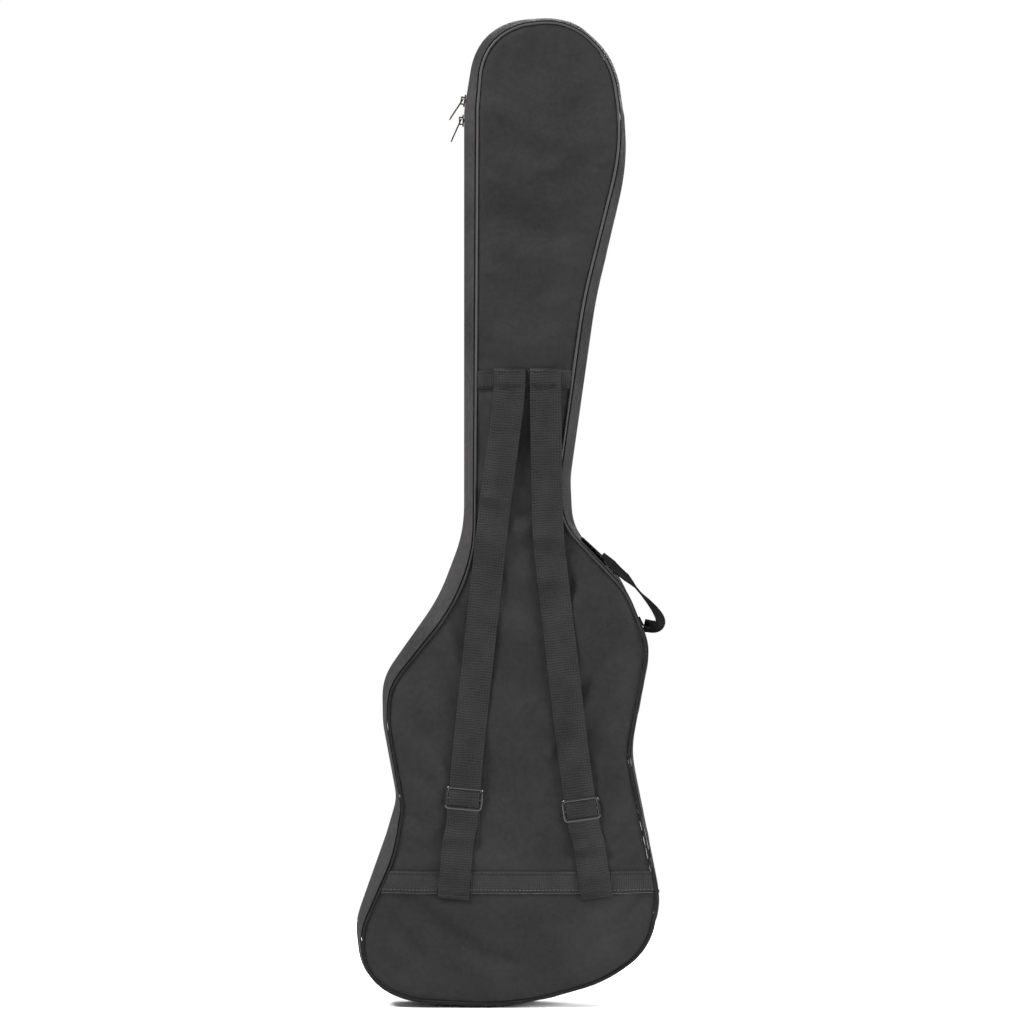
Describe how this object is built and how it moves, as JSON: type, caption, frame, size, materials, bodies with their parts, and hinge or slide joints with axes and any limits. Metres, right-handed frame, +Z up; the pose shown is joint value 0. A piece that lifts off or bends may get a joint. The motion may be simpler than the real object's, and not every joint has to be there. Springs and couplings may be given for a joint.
{
  "type": "instrument gig bag",
  "caption": "Tall padded gig bag for a bass guitar: hourglass body, long neck, zipped lid hinged at one side, backpack straps with buckles, side handle, front pocket.",
  "frame": {"origin": "on the outer face of the back panel, between the two shoulder strap anchors", "axes": "+X to the handle side, +Y from the back panel towards the front pocket, +Z up towards the headstock end"},
  "size_m": [0.3746, 0.1131, 1.2035],
  "materials": {
    "shell_fabric": "woven nylon, dull sheen",
    "webbing": "ribbed webbing",
    "padding": "closed-cell foam",
    "lining": "thin smooth nylon",
    "piping": "satin vinyl piping",
    "zip_tape": "herringbone tape",
    "coil": "satin nylon coil",
    "zip_metal": "nickel plate",
    "buckle_plastic": "glossy moulded plastic"
  },
  "bodies": {
    "back_shell": {"back_panel_upper": "shell_fabric", "back_panel_middle": "shell_fabric", "back_panel_lower": "shell_fabric", "back_foam": "padding", "back_lining": "lining", "back_piping": "piping", "gusset_rear": "shell_fabric", "body_foam_rear": "padding", "neck_foam_rear": "padding", "gusset_rear_lining": "lining", "zip_tape_rear": "zip_tape", "zip_coil_rear": "coil", "side_hinge_rear": "shell_fabric", "zip_end_stops": "zip_metal", "harness_band": "webbing", "lower_band": "webbing", "strap_end_left": "webbing", "strap_end_right": "webbing", "handle_tab_upper": "webbing", "handle_tab_lower": "webbing"},
    "lid": {"front_panel": "shell_fabric", "front_foam": "padding", "front_lining": "lining", "front_piping": "piping", "gusset_front": "shell_fabric", "body_foam_front": "padding", "neck_foam_front": "padding", "gusset_front_lining": "lining", "zip_tape_front": "zip_tape", "zip_coil_front": "coil", "side_hinge_front": "shell_fabric", "pocket_gusset": "shell_fabric", "pocket_face": "shell_fabric", "pocket_top": "shell_fabric", "pocket_zip_tape": "zip_tape", "pocket_zip_coil": "coil"},
    "zip_slider_lower": {"zip_slider_lower": "zip_metal"},
    "zip_slider_upper": {"zip_slider_upper": "zip_metal"},
    "zip_pull_lower": {"zip_pull_lower": "zip_metal"},
    "zip_pull_upper": {"zip_pull_upper": "zip_metal"},
    "strap_left": {"shoulder_strap_left": "webbing"},
    "strap_right": {"shoulder_strap_right": "webbing"},
    "adjuster_left": {"buckle_left": "buckle_plastic"},
    "adjuster_right": {"buckle_right": "buckle_plastic"},
    "lower_web_left": {"anchor_web_left": "webbing"},
    "lower_web_right": {"anchor_web_right": "webbing"},
    "handle": {"carry_handle": "webbing"},
    "pocket_slider": {"pocket_slider": "zip_metal"},
    "pocket_pull": {"pocket_pull": "zip_metal"}
  },
  "joints": [
    {"name": "lid_hinge", "type": "hinge", "parent": "back_shell", "child": "lid", "pos_m": [0.15, 0.035, -0.315], "axis": [0.0317, 0, -0.9995], "range_deg": [0, 110]},
    {"name": "lower_slider_run", "type": "slide", "parent": "back_shell", "child": "zip_slider_lower", "axis": [0, 0, -1], "range_m": [0, 0.45]},
    {"name": "upper_slider_run", "type": "slide", "parent": "back_shell", "child": "zip_slider_upper", "axis": [0.1598, 0, 0.9871], "range_m": [0, 0.036]},
    {"name": "lower_pull_swing", "type": "hinge", "parent": "zip_slider_lower", "child": "zip_pull_lower", "pos_m": [-0.0819, 0.035, 0.3072], "axis": [0, 1, 0], "range_deg": [0, 60]},
    {"name": "upper_pull_swing", "type": "hinge", "parent": "zip_slider_upper", "child": "zip_pull_upper", "pos_m": [-0.07973, 0.035, 0.33181], "axis": [0, 1, 0], "range_deg": [0, 90]},
    {"name": "strap_left_lift", "type": "hinge", "parent": "back_shell", "child": "strap_left", "pos_m": [-0.022, -0.0032, -0.0275], "axis": [-1, 0, 0], "range_deg": [0, 6]},
    {"name": "adjuster_left_slide", "type": "slide", "parent": "strap_left", "child": "adjuster_left", "axis": [-0.0858, -0.0057, -0.9963], "range_m": [0, 0.024]},
    {"name": "lower_web_left_lift", "type": "hinge", "parent": "back_shell", "child": "lower_web_left", "pos_m": [-0.0851, -0.0013, -0.6058], "axis": [1, 0, 0], "range_deg": [0, 32.4]},
    {"name": "strap_right_lift", "type": "hinge", "parent": "back_shell", "child": "strap_right", "pos_m": [0.021, -0.0032, -0.0275], "axis": [-1, 0, 0], "range_deg": [0, 6]},
    {"name": "adjuster_right_slide", "type": "slide", "parent": "strap_right", "child": "adjuster_right", "axis": [0.143, -0.0056, -0.9897], "range_m": [0, 0.028]},
    {"name": "lower_web_right_lift", "type": "hinge", "parent": "back_shell", "child": "lower_web_right", "pos_m": [0.0751, -0.0013, -0.6058], "axis": [1, 0, 0], "range_deg": [0, 39]},
    {"name": "handle_flop", "type": "hinge", "parent": "back_shell", "child": "handle", "pos_m": [0.097, 0.0155, -0.2225], "axis": [0.4872, 0, -0.8733], "range_deg": [-12, 12]},
    {"name": "pocket_slider_run", "type": "slide", "parent": "lid", "child": "pocket_slider", "axis": [1, 0, 0], "range_m": [0, 0.185]},
    {"name": "pocket_pull_swing", "type": "hinge", "parent": "pocket_slider", "child": "pocket_pull", "pos_m": [-0.0938, 0.0909, -0.452], "axis": [0, 0, -1], "range_deg": [0, 90]}
  ],
  "couplings": [
    {"joint": "adjuster_left_slide", "follows": "strap_left_lift", "m_per_rad": 0.2292},
    {"joint": "lower_web_left_lift", "follows": "strap_left_lift", "ratio": 5.4},
    {"joint": "adjuster_right_slide", "follows": "strap_right_lift", "m_per_rad": 0.2674},
    {"joint": "lower_web_right_lift", "follows": "strap_right_lift", "ratio": 6.5}
  ]
}
